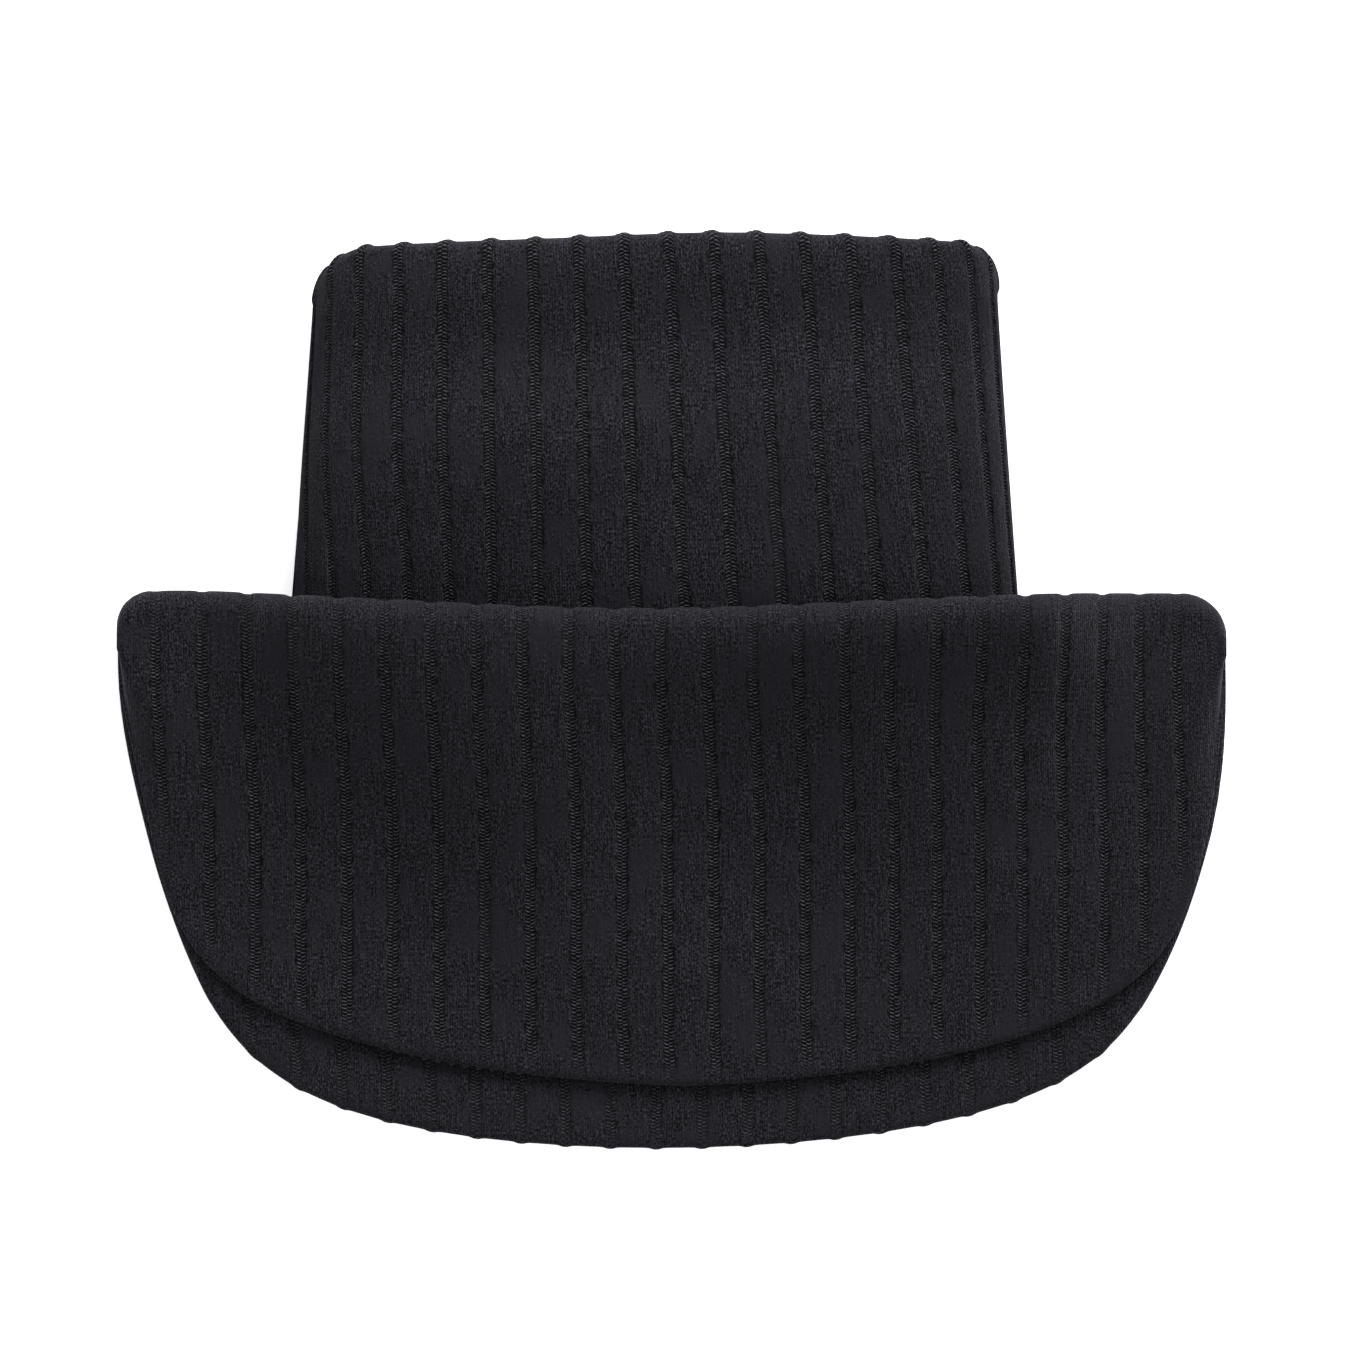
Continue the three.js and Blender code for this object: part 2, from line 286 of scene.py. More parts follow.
def rib_knit(name, seed):
    """Black wide rib: seven flat knit wales, then two purl wales whose loops lie like a braid."""
    material, f, shader = new_finish(name)
    knit = f.node("ShaderNodeAttribute", {"attribute_name": "knit"}, output=1)
    split = {"Vector": knit}
    ribs = f.node("ShaderNodeSeparateXYZ", None, split, 0)
    course = f.node("ShaderNodeSeparateXYZ", None, split, 1)
    plain = f.node("ShaderNodeSeparateXYZ", None, split, 2)
    across_mm = ribs * (wales_in_repeat * wale_width)
    along_mm = course * course_height

    def fibres(size, stretch, detail):
        place = f.node("ShaderNodeCombineXYZ", None,
                       {0: across_mm * (1 / size), 1: along_mm * (1 / (size * stretch)), 2: float(seed)})
        return f.node("ShaderNodeTexNoise", None,
                      {"Vector": place, "Scale": 1.0, "Detail": detail, "Roughness": 0.6})

    # How the yarn varies, from single fibres to patches wider than a rib.
    slack = fibres(11, 1.6, 2) - 0.5
    shiver = fibres(1.7, 1.2, 1) - 0.5
    fuzz = fibres(0.5, 1.5, 3)
    heather = fibres(1.1, 2.6, 2)
    streak = fibres(0.8, 11, 2)
    cloud = fibres(17, 1.3, 2)

    # The purl column, whose loops bow down on both sides of its middle like a braid.
    centre = ribs.math("ROUND", ribs)
    wale = (ribs - centre + slack * 0.08 + shiver * 0.04) * wales_in_repeat
    row = course + slack * 2 + shiver * 0.9
    from_channel = abs(wale)
    side = wale.math("SIGN", wale)
    rough_edge = (heather - 0.5) * 1.6 + (fuzz - 0.5) * 1.2
    in_channel = 1 - (from_channel + rough_edge).step(channel_side, channel_end)
    worn = cloud.step(0.26, 0.44) * (1 - least_worn) + least_worn

    # The knit wales, two legs to a loop, and the purl loops' crests.
    leg = abs(wale.math("FRACT", wale) - 0.5)
    legs = 1 - abs(leg * 4 - 1)
    flat_loops = legs * (0.6 + 0.4 * (row - leg * 1.3).wave())
    bead = from_channel - 0.5
    strand = (row + bead * 0.3 + bead * bead * 0.9 + side * 0.25).wave()
    braid = strand ** braid_sharpness * (1 - bead ** 4 * 12).at_least(0)

    # Heights: the braid in the channel, loops and fuzz on the rib, less of them in smooth patches.
    crisp = (cloud + (heather - 0.5) * 0.5).step(0.34, 0.6) * (1 - least_crisp) + least_crisp
    relief = in_channel * braid * worn * braid_height + (
        (1 - in_channel) * crisp * (flat_loops * loop_height + fuzz * fuzz_height))
    bump = f.node("ShaderNodeBump", None, {"Strength": 1.0, "Distance": knit_height, "Height": relief})

    # Colours: in the channel, painted highlights on the loops' crests over painted black shade in the gaps;
    # on the rib, random pits, tips and streaks, and painted shade in the grooves between the knit legs.
    # Where the painted highlight lies: on the crests of the purl loops.
    loop_light = braid * (heather * 2.6 - 0.6).at_least(0.15) * (0.2 + fuzz * 1.5)
    # Painted light and shade in the channel: the highlight colour on the loops' crests, the shade colour in
    # the gaps between them.
    channel_light_and_shade = f.node("ShaderNodeMix", {"data_type": "RGBA"}, {6: painted_gap_shade, 7: painted_crest_highlight, 0: loop_light}, 2)
    pits = (1 - fuzz.step(0.39, 0.49)) * 0.9
    tips = fuzz.step(0.55, 0.67) * 1.5
    # Random pits, tips and streaks of the yarn, plus painted shade in the grooves between the knit legs,
    # lighter on the legs themselves.
    grain_and_groove_shade = tips - pits + (fuzz - 0.5) * 3 + (streak - 0.5) * 2.6 + (flat_loops - 0.45) * 0.6
    shade = (grain_and_groove_shade * crisp + (heather - 0.5) * 0.6 + (cloud - 0.5) * 0.5 + 0.95).at_least(darkest_shade)
    tint = f.node("ShaderNodeVectorMath", {"operation": "SCALE"}, {0: rib_colour[:3], "Scale": shade})
    colour = f.node("ShaderNodeMix", {"data_type": "RGBA"},
                    {0: in_channel * plain * worn, 6: tint, 7: channel_light_and_shade}, 2)
    f.tree.links.new(colour.socket, shader.inputs["Base Color"])
    f.tree.links.new(bump.socket, shader.inputs["Normal"])
    f.tree.links.new((0.86 + heather * 0.12).socket, shader.inputs["Roughness"])
    shader.inputs["Specular IOR Level"].default_value = 0.07
    shader.inputs["Sheen Weight"].default_value = 0.06
    shader.inputs["Sheen Roughness"].default_value = 0.4
    shader.inputs["Sheen Tint"].default_value = (0.75, 0.74, 0.85, 1)
    return material


def normals_of(grid, wrap):
    if wrap:
        across = np.roll(grid, -1, 1) - np.roll(grid, 1, 1)
    else:
        across = np.gradient(grid, axis=1)
    normal = np.cross(across, np.gradient(grid, axis=0))
    return normal / np.maximum(np.linalg.norm(normal, axis=2, keepdims=True), 1e-9)


def cloth(name, face, normal, thickness, edge, ribs, courses, plain, material, wrap=False, back_relief=0):
    """A knitted panel between its right side, face, and its wrong side, a thickness behind it.
    Points lie in rows by columns. edge is 1 inside the panel and 0 on its rounded edge."""
    inside_out = (normals_of(face, wrap) * normal).sum() < 0
    half = (thickness / 2)[..., None]
    rim = edge[..., None]
    front = face - normal * half * (1 - rim)
    behind = face - normal * half * (1 + rim) + normal * np.reshape(back_relief * edge, (*edge.shape, -1))
    rows, columns = edge.shape
    points = np.concatenate([front.reshape(-1, 3), behind.reshape(-1, 3)]) * mm
    place = np.arange(rows * columns).reshape(rows, columns)
    if wrap:
        place = np.concatenate([place, place[:, :1]], axis=1)
        ribs = np.concatenate([ribs, ribs[:, :1] + collar_ribs], axis=1)
        courses = np.concatenate([courses, courses[:, :1]], axis=1)
        plain = np.concatenate([plain, plain[:, :1]], axis=1)
    marks = np.stack([ribs, courses, plain], axis=2).astype(np.float32)
    deep = rows * columns

    def quads(grid):
        return np.stack([grid[:-1, :-1], grid[:-1, 1:], grid[1:, 1:], grid[1:, :-1]], axis=2).reshape(-1, 4)

    mark = np.arange(marks.shape[0] * marks.shape[1]).reshape(marks.shape[:2])
    faces = [quads(place), quads(place)[:, ::-1] + deep]
    stitches = [quads(mark), quads(mark)[:, ::-1]]
    borders = [(place[0], mark[0], False), (place[-1], mark[-1], True)]
    if not wrap:
        borders.append((place[:, 0], mark[:, 0], True))
        borders.append((place[:, -1], mark[:, -1], False))
    for line, seen, flip in borders:
        strip = np.stack([line[:-1], line[:-1] + deep, line[1:] + deep, line[1:]], axis=1)
        seen = np.stack([seen[:-1], seen[:-1], seen[1:], seen[1:]], axis=1)
        faces.append(strip[:, ::-1] if flip else strip)
        stitches.append(seen[:, ::-1] if flip else seen)
    faces = np.concatenate(faces)
    stitches = np.concatenate(stitches)
    if inside_out:
        faces, stitches = faces[:, ::-1], stitches[:, ::-1]
    mesh = bpy.data.meshes.new(name)
    mesh.from_pydata(points.tolist(), [], faces.tolist())
    knit = mesh.attributes.new("knit", "FLOAT_VECTOR", "CORNER")
    knit.data.foreach_set("vector", marks.reshape(-1, 3)[stitches.ravel()].ravel())
    mesh.shade_smooth()
    mesh.materials.append(material)
    panel = bpy.data.objects.new(name, mesh)
    scene.collection.objects.link(panel)
    return panel


def rib_columns(low, high):
    """Rib coordinates of the columns between two ends, closer together in the purl channels."""
    every = [whole + part for whole in range(math.floor(low), math.ceil(high)) for part in rib_steps]
    return np.array([u for u in every if low < u < high])


def collar_half_width(y):
    down = 1 - np.clip(y / collar_height, 0, 1)
    return lerp(collar_top_width, collar_neck_width, down ** collar_flare) / 2


def collar_half_thickness(y):
    t = np.clip(y / collar_height, 0, 1)
    ends = (collar_neck_thickness + collar_top_thickness) / 2
    crown = 4 * t * (1 - t) * (collar_middle_thickness - ends)
    return (lerp(collar_neck_thickness, collar_top_thickness, t) + crown) / 2


def collar_unevenness(x, y):
    """How far the outer layer lies above its even shape, as far as the cloth sinks and swells."""
    top_roll = -top_roll_dip * np.exp(-np.maximum(collar_height - y, 0) / top_roll_reach)
    from_hollow = y - collar_height + hollow_from_top - hollow_slant * x
    hollow = -hollow_dip * hill(from_hollow, 0, hollow_reach)
    low_left = -low_left_dip * smoothstep(-x, -5, 70) * smoothstep(-y, -80, -15)
    middle = middle_rise * hill(x, -30, 34) * hill(y, 58, 20)
    return top_roll + hollow + low_left + middle + laid_ripple * ripple(x, y, 1.3)


def collar_point(angle, y, inset):
    """A point of the collar's wall: how far round it, how high, and how far in from its outside."""
    wide = collar_half_width(y)
    thick = collar_half_thickness(y)
    cos, sin = np.cos(angle), np.sin(angle)
    across = np.sign(cos) * np.abs(cos) ** (2 / collar_section_power)
    up = np.sign(sin) * np.abs(sin) ** (2 / collar_section_power)
    x = (wide - inset) * across
    sag = collar_sag * (1 - across ** 2) ** 2 * np.maximum(up, 0)
    corner = np.where(x < 0, *collar_corners)
    past = np.clip(np.abs(x) - (wide - corner), 0, corner)
    drop = collar_arch * across ** 2 + corner - np.sqrt(corner ** 2 - past ** 2)
    drop = drop + collar_low_left * smoothstep(-x, -25, 35)
    lift = collar_unevenness(x, y) * np.maximum(up, 0)
    return np.stack([x + collar_lean, seam_y + y - drop * (y / collar_height) ** 3,
                     thick + (thick - inset) * up - sag + lift], axis=-1)


def rib_angle(ribs, y):
    """Where a rib lies round the collar at height y, as the ribs crowd towards the soft sides."""
    half = collar_half_width(y)
    roll = collar_side_roll + collar_side_roll_more * (1 - y / collar_height)
    quarter = half + (math.pi / 2 - 1) * roll
    pitch = 4 * quarter / collar_ribs
    along = ribs * pitch + rib_shift + (rib_shift_level - seam_y - y) * rib_slant
    twist = rib_twist * smoothstep(-along, 30, 95) * smoothstep(-y, -65, -15)
    along = along + twist
    along = (along + 2 * quarter) % (4 * quarter) - 2 * quarter
    behind = np.abs(along) > quarter
    along = np.where(behind, np.sign(along) * 2 * quarter - along, along)
    flat = half - roll
    reach = np.abs(along)
    x = np.where(reach < flat, reach, flat + roll * np.sin(np.maximum(reach - flat, 0) / roll))
    share = np.sign(along) * np.clip(x / half, 0, 1) ** (collar_section_power / 2)
    angle = np.arccos(share)
    return np.where(behind, -angle, angle)


bend = collar_turn / 2
leg = np.linspace(-seam_lap / (collar_height - bend), 1, collar_rows) * (collar_height - bend)
outer_leg = lerp(turned_hem_gap, collar_height - bend, np.linspace(0, 1, collar_rows))
inner_inset = collar_turn - inner_drop * (1 - smoothstep(leg, 0, inner_drop_run))
turn = np.radians(np.linspace(0, 180, 11)[1:-1])
profile_y = np.concatenate([outer_leg, collar_height - bend * (1 - np.sin(turn)), leg[::-1]])
profile_inset = np.concatenate([np.zeros_like(leg), bend * (1 - np.cos(turn)), inner_inset[::-1]])
collar_columns = rib_columns(-collar_ribs / 2 - 0.01, collar_ribs / 2 - 0.01)
ribs, rows_y = np.meshgrid(collar_columns, profile_y)
inset = np.repeat(profile_inset[:, None], len(collar_columns), axis=1)
face = collar_point(rib_angle(ribs, rows_y), rows_y, inset)
normal = normals_of(face, wrap=True)
if normal[0, np.argmin(np.abs(collar_columns)), 2] < 0:
    normal = -normal
at_fold = smoothstep(rows_y, collar_height - 9, collar_height - 1)
sink = channel_depth * lerp(1, -fold_ridge, at_fold)
face = face - normal * (sink * channel(ribs))[..., None]
face[..., 2] = np.maximum(face[..., 2], off_table)
run = np.concatenate([[0], np.cumsum(np.linalg.norm(np.diff(face[:, 0], axis=0), axis=1))])
courses = np.repeat(run[:, None], len(collar_columns), axis=1) / course_height
collar = cloth("turned_down_collar", face, normal, np.full_like(rows_y, layer),
               np.full_like(rows_y, blunt), ribs, courses, np.ones_like(rows_y),
               rib_knit("collar_rib_knit", 1), wrap=True)
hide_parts("turned_collar")
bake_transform(collar)

# ---------- the front bib ----------
# A panel of the same knit with a rounded lower edge. It starts at the shoulders, folds over along the
# bib's top edge and over the collar's base, and lies down on the back bib, with its hem turned under.

bib_width = 288.4
bib_corners = (9, 12)  # at its left and right shoulders
corner_turn = 0.97  # how much of a quarter turn each corner makes
shoulder_rise = 19.7
left_shoulder_rise = 0.7
fold_radius = 5.5
fold_sag = 3.9
fold_sag_middle = -8
fold_sag_run = 118
fold_curl = 120  # degrees that the top edge rolls under, past its top
fold_fall = 14.5  # the run of the slope from the folded edge down to the back bib
fold_fall_left = 12  # how much further it runs out to the left of the middle
fold_fall_right = -5.5
fold_fall_ends = 22
fold_fall_slow = 34  # the run of the long foot of the slope to the right of the middle
slow_share = 0.45
fold_shoulder_run = 36
fold_crown = 0.85
cloth_gap = 0.4
edge_radius = 2.2
hem_depth = 18
pressed = 0.55  # the turned-under layer's share of the front hem's thickness
hem_step = 1.5  # length over which the turned-up layer's edge flattens out
front_cut = dict(drop=108.5, square=7, round=1.5, taper=0.14, taper_power=1.2)
front_rows = 50
bib_sway = 2.0  # the bibs' lower part lies this far to the right
hem_level = 6.1  # of the right side, above the table
middle_level = 6.2
level_swell = 0.8  # inside its hems the cloth lies this much higher, in soft waves
wave_height = 1.5
wave_length = 112
wave_middle = -25
wave_slant = 0.15
wave_ripple = 0.5
front_rib_start = -2.9
front_rib_pitch = 11.93
front_rib_crowding = 0.092
low_sway = 0.9
right_lean = 2.6  # the folded edge is drawn to the right at the right shoulder
least_braid = 0.15  # of the purl loops' light and dark, where a channel is pressed flat
first_course = 40
outline_points = 260
fine_rows = 240
edge_crowding = 24  # how much closer together the rows lie on a rounded edge
curl_rows = 24
side_columns = 6
outermost_rib = 14


def half_width(cut, y):
    t = np.clip(-y / cut["drop"], 0, 1)
    round_off = (1 - t ** cut["square"]) ** (1 / cut["round"])
    return bib_width / 2 * round_off * (1 - cut["taper"] * t ** cut["taper_power"])


def outline(cut, top):
    """The panel's sides and lower edge, from its left shoulder round to its right."""
    y = -cut["drop"] * np.sin(np.linspace(0, math.pi / 2, outline_points))
    right = np.stack([half_width(cut, y), y], axis=1)
    shoulder = np.array([[bib_width / 2, high] for high in np.linspace(top, 0.5, 20)])
    right = np.concatenate([shoulder, right])
    left = right[:-1] * (-1, 1)
    return np.concatenate([left, right[::-1]])


def away_from(line, x, y):
    """Distance from points to a line of points."""
    start, step = line[:-1], np.diff(line, axis=0)
    size = np.maximum((step ** 2).sum(1), 1e-12)
    flat = np.stack([x.ravel(), y.ravel()], axis=1)
    nearest = np.full(len(flat), np.inf)
    for (sx, sy), (dx, dy), length in zip(start, step, size):
        t = np.clip(((flat[:, 0] - sx) * dx + (flat[:, 1] - sy) * dy) / length, 0, 1)
        nearest = np.minimum(nearest, np.hypot(flat[:, 0] - sx - t * dx, flat[:, 1] - sy - t * dy))
    return nearest.reshape(x.shape)


def rounded(distance):
    return np.sqrt(1 - (1 - np.clip(distance / edge_radius, 0, 1)) ** 2)


def edge_y(cut, x):
    y = -cut["drop"] * np.sin(np.linspace(0, math.pi / 2, 4000))
    wide = half_width(cut, y)
    return np.interp(-np.abs(x), -wide, y)


def panel_rows(cut, x, top, count):
    """The y of each row down each column, closer together on the rounded edge."""
    line = outline(cut, 40)
    low = edge_y(cut, x)
    share = np.linspace(0, 1, fine_rows)[:, None]
    y = lerp(top[None], low[None], share)
    inside = away_from(line, np.repeat(x[None], fine_rows, axis=0), y)
    measure = np.abs(np.diff(y, axis=0)) + edge_crowding * np.abs(np.diff(rounded(inside), axis=0))
    measure = np.concatenate([0 * x[None], np.cumsum(measure, axis=0)])
    rows = np.empty((count, len(x)))
    for i in range(len(x)):
        rows[:, i] = np.interp(np.linspace(0, measure[-1, i], count), measure[:, i], y[:, i])
    return rows, away_from(line, np.repeat(x[None], count, axis=0), rows)


def panel_columns(place_of):
    """Columns of a bib: on its ribs, then close together at its two rounded sides."""
    limit = bib_width / 2 - edge_radius
    u = rib_columns(-outermost_rib, outermost_rib)
    x = place_of(u)
    u, x = u[np.abs(x) < limit - 0.3], x[np.abs(x) < limit - 0.3]
    side = bib_width / 2 - edge_radius * (1 - np.cos(np.radians(np.linspace(90, 0, side_columns))))
    x = np.concatenate([-side[::-1], x, side])
    many = np.linspace(-outermost_rib, outermost_rib, 4000)
    return np.interp(x, place_of(many), many), x


def collar_front_z(x, y):
    across = np.clip(np.abs(x) / collar_half_width(y), 0, 1)
    up = (1 - across ** collar_section_power) ** (1 / collar_section_power)
    thick = collar_half_thickness(y)
    return thick + thick * up - collar_sag * (1 - across ** 2) ** 2 * up


def fold_z(x):
    edge = collar_half_width(shoulder_rise - fold_radius) - fold_radius
    over = collar_front_z(np.minimum(np.abs(x), edge * fold_crown), shoulder_rise) + cloth_gap
    outward = smoothstep(np.abs(x), edge, edge + fold_shoulder_run)
    return lerp(over, layer + cloth_gap, outward) + fold_radius


def corner_drop(x):
    corner = np.where(x < 0, *bib_corners)
    past = corner_turn * np.clip(np.abs(x) - (bib_width / 2 - corner), 0, corner)
    return corner - np.sqrt(corner ** 2 - past ** 2)


def fold_y(x):
    sag = fold_sag * (1 - smoothstep(np.abs(x - fold_sag_middle), 0, fold_sag_run))
    left_shoulder = left_shoulder_rise * hill(x, -128, 22)
    return shoulder_rise - fold_radius - sag - corner_drop(x) + left_shoulder


def front_z(x, y, inside):
    """The height of the panel's right side, from the folded edge down to its hem."""
    run = fold_fall + fold_fall_left * hill(x, -48, 34)
    run = run + fold_fall_right * hill(x, 72, 40)
    run = run + fold_fall_ends * smoothstep(np.abs(x), 104, 138)
    below = np.maximum(fold_y(x) - y, 0) / run
    fall = (1 + below) * np.exp(-below)
    slow = np.maximum(fold_y(x) - y, 0) / fold_fall_slow
    fall = lerp(fall, (1 + slow) * np.exp(-slow), slow_share * hill(x, 65, 40))
    way_down = (fold_y(x) - y) / (fold_y(x) - edge_y(front_cut, x) + 1)
    fall = fall * (1 - smoothstep(way_down, 0.3, 0.9))
    level = lerp(hem_level, middle_level, smoothstep(inside, 12, 34))
    wave = np.cos(2 * math.pi * (x - wave_middle + wave_slant * y) / wave_length)
    waves = level_swell + wave_height * wave + wave_ripple * ripple(x, y, 0.4)
    level = level + waves * smoothstep(inside, 4, 34)
    return lerp(level, fold_z(x) + fold_radius, fall)


def front_rib_place(u):
    """Where the purl columns lie, a little closer together towards the right."""
    return front_rib_start + front_rib_pitch * u - front_rib_crowding * np.maximum(u - 2, 0) ** 2


def sway(x, y):
    """How far both bibs are drawn to the right."""
    lower = bib_sway * smoothstep(-y, -5, 45) + low_sway * smoothstep(-y, 85, 115)
    lean = right_lean * hill(x, 88, 30) * smoothstep(y, -26, 10)
    return lower + lean


def curl_face(x, angle):
    return np.stack([x, fold_y(x) + fold_radius * np.cos(angle),
                     fold_z(x) + fold_radius * np.sin(angle)], axis=2)


def leg_face(x, y, inside):
    return np.stack([x, y, front_z(x, y, inside)], axis=2)


def facing(surface, a, b, *more):
    """Unit normals of a surface given by two coordinates."""
    small = 0.02
    along_a = surface(a + small, b, *more) - surface(a - small, b, *more)
    along_b = surface(a, b + small, *more) - surface(a, b - small, *more)
    normal = np.cross(along_a, along_b)
    return normal / np.linalg.norm(normal, axis=2, keepdims=True)


u, x = panel_columns(front_rib_place)
rows, inside = panel_rows(front_cut, x, fold_y(x), front_rows)
angles = np.radians(np.linspace(-fold_curl, 90, curl_rows + 1)[:-1])
curl_x, curl_angle = np.meshgrid(x, angles)
leg_x = np.repeat(x[None], front_rows, axis=0)
face = np.concatenate([curl_face(curl_x, curl_angle), leg_face(leg_x, rows, inside)])
curl_normal = np.stack([np.zeros_like(curl_x), np.cos(curl_angle), np.sin(curl_angle)], axis=2)
normal = np.concatenate([curl_normal, facing(leg_face, leg_x, rows, inside)])
below_fold = np.concatenate([np.zeros_like(curl_x), fold_y(leg_x) - rows])
inside = np.concatenate([bib_width / 2 - np.abs(curl_x), inside])
ribs = np.repeat(u[None], len(face), axis=0)
doubled = (1 - smoothstep(inside, hem_depth - hem_step, hem_depth)) * smoothstep(below_fold, 2, 12)
run = np.cumsum(np.concatenate([[0], np.linalg.norm(np.diff(face[:, len(x) // 2], axis=0), axis=1)]))
smooth_fold = smoothstep(face[..., 1], fold_y(x)[None] - 12, fold_y(x)[None] + 3)
shoulder = smoothstep(np.abs(x), 100, 140)[None]
plain = smoothstep(inside, 2.0, 6.5) * (1 - 0.85 * smooth_fold * lerp(0.55, 1, shoulder))
face = face - normal * (channel_depth * channel(ribs) * plain)[..., None]
face[..., 0] += sway(face[..., 0], face[..., 1])
face[..., 1] += seam_y
courses = (first_course - face[..., 1]) / course_height
curled = len(angles)
courses[:curled] = courses[curled] - (run[curled] - run[:curled, None]) / course_height
front = cloth("front_bib", face, normal, layer * (1 + pressed * doubled), rounded(inside), ribs, courses,
              lerp(least_braid, 1, plain), rib_knit("front_bib_rib_knit", 2))
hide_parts("front_bib_panel")
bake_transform(front)

# ---------- the back bib ----------
# The same knit, right side down on the table, a little longer than the front and hollowed at the top
# for the neck. Its hem is turned up to the inside, where it shows past the front bib's lower edge.

back_cut = dict(drop=124.9, square=11.2, round=1.97, taper=0.296, taper_power=1.9)
back_rows = 56
neck_notch = 68  # half the width of the neck edge that is linked to the collar
neck_notch_run = 22  # from there out, its edge climbs to the shoulder
neck_gap = 0.4
linking_room = 2.2
neck_rise = 6  # the most that its edge lifts; it lies flat within neck_flat of the middle
neck_flat = 22
neck_rise_start = 94
neck_rise_end = 114
neck_ramp = 18  # the length over which it comes up from the table
tuck_gap = 0.1  # between the panel and the collar's inner layer above it
shoulder_inset = 1
back_rib_start = -6.9
back_rib_pitch = 11.6
hem_scallop = 0.22  # each channel draws the lower edge in by this much
hem_tilt = 0.015  # the lower edge lies a little lower at the left than at the right


def back_rib_place(u):
    return back_rib_start + back_rib_pitch * u + 0.5 * np.tanh(u)


def collar_underside(across, inset):
    """Height of the collar's base above the table at the neck seam, this far in from its outside."""
    share = np.clip(across / (collar_neck_width / 2 - inset), 0, 1)
    half = collar_neck_thickness / 2
    return half - (half - inset) * (1 - share ** collar_section_power) ** (1 / collar_section_power)


def neck_lift(x, y):
    """How far the panel rises from the table to meet the soft sides of the collar's base."""
    across = np.abs(x - collar_lean)
    inner = collar_underside(across, collar_turn - inner_drop) - layer
    tucked = smoothstep(across, neck_notch - 3, neck_notch + 4)
    joined = inner - tucked * (layer + tuck_gap)
    covered = collar_underside(across, 0) - layer - cloth_gap
    rise = lerp(joined, covered, smoothstep(y, 0.5, turned_hem_gap))
    rise = np.clip(rise, 0, neck_rise) * (1 - smoothstep(across, neck_rise_start, neck_rise_end))
    return rise * smoothstep(across, neck_flat, 2 * neck_flat) * smoothstep(y, -neck_ramp, -1)


u, x = panel_columns(back_rib_place)
notched = smoothstep(np.abs(x - collar_lean), neck_notch, neck_notch + neck_notch_run)
top = lerp(seam_lap - linking_room / 2 - neck_gap, shoulder_rise - shoulder_inset - corner_drop(x), notched)
rows, inside = panel_rows(back_cut, x, top, back_rows)
across = np.repeat(x[None], back_rows, axis=0)
ribs = np.repeat(u[None], back_rows, axis=0)
doubled = 1 - smoothstep(inside, hem_depth - hem_step, hem_depth)
doubled = doubled * smoothstep(-rows, 2, 8)
plain = smoothstep(inside, 1.5, 5) * lerp(0.6, 1, smoothstep(inside, 10, 30))
at_neck = smoothstep(rows, -8, -4) * (1 - smoothstep(np.abs(across - collar_lean), 84, 92))
edge = lerp(rounded(inside), blunt, at_neck)
pull = hem_scallop * (2 * channel(ribs) - 1) * (1 - smoothstep(inside, 0, 6)) * smoothstep(-rows, 70, 110)
down = channel_depth * channel(ribs) * plain
tilt = hem_tilt * across * smoothstep(-rows, 60, 120)
rise = neck_lift(across, rows)
face = np.stack([across, rows - pull + tilt, down + rise], axis=2)
normal = np.zeros_like(face)
normal[..., 2] = -1
face[..., 0] += sway(face[..., 0], face[..., 1])
face[..., 1] += seam_y
courses = (first_course - face[..., 1]) / course_height
back = cloth("back_bib", face, normal, layer * (1 + doubled), edge, ribs, courses,
             lerp(least_braid, 1, plain), rib_knit("back_bib_rib_knit", 3), back_relief=2 * down * doubled)
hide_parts("back_bib_panel")
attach(back, "back_bib")

# ---------- the seams ----------
# Black two-ply yarn. A linking chain joins the collar's lower edge to the neck edges of the bibs, two
# short ones close the shoulders, one closes the collar at the centre back, and two hold the hems.

yarn_colour = (0.0085, 0.0082, 0.0105, 1)
ply_sides = 6
ply_share = 0.58  # of the yarn's radius
ply_lay = 2.6  # length of one twist


def seam_yarn():
    """Plied yarn: fine fibres that lie along the twist."""
    material, f, shader = new_finish("seam_yarn")
    place = f.node("ShaderNodeTexCoord", output=3)
    hairs = f.node("ShaderNodeTexNoise", None, {"Vector": place, "Scale": 2600.0, "Detail": 3.0})
    patch = f.node("ShaderNodeTexNoise", None, {"Vector": place, "Scale": 300.0, "Detail": 2.0})
    bump = f.node("ShaderNodeBump", None, {"Strength": 0.8, "Distance": 0.0002, "Height": hairs})
    tint = f.node("ShaderNodeVectorMath", {"operation": "SCALE"},
                  {0: yarn_colour[:3], "Scale": hairs * 0.9 + patch * 0.5 + 0.3})
    f.tree.links.new(tint.socket, shader.inputs["Base Color"])
    f.tree.links.new(bump.socket, shader.inputs["Normal"])
    f.tree.links.new((0.7 + hairs * 0.25).socket, shader.inputs["Roughness"])
    shader.inputs["Specular IOR Level"].default_value = 0.3
    shader.inputs["Sheen Weight"].default_value = 0.1
    return material


seam_finish = seam_yarn()


def evenly(path, gap):
    """The same path with points a gap apart."""
    far = np.concatenate([[0], np.cumsum(np.linalg.norm(np.diff(path, axis=0), axis=1))])
    at = np.linspace(0, far[-1], max(int(far[-1] / gap), 3))
    return np.stack([np.interp(at, far, path[:, i]) for i in range(3)], axis=1), at


def zigzag(path, across, wide, pitch):
    """A path that swings from side to side of another, as a row of stitches does."""
    path, at = evenly(path, 0.3)
    swing = wide * np.sin(2 * math.pi * at / pitch)
    return path + across * swing[:, None]


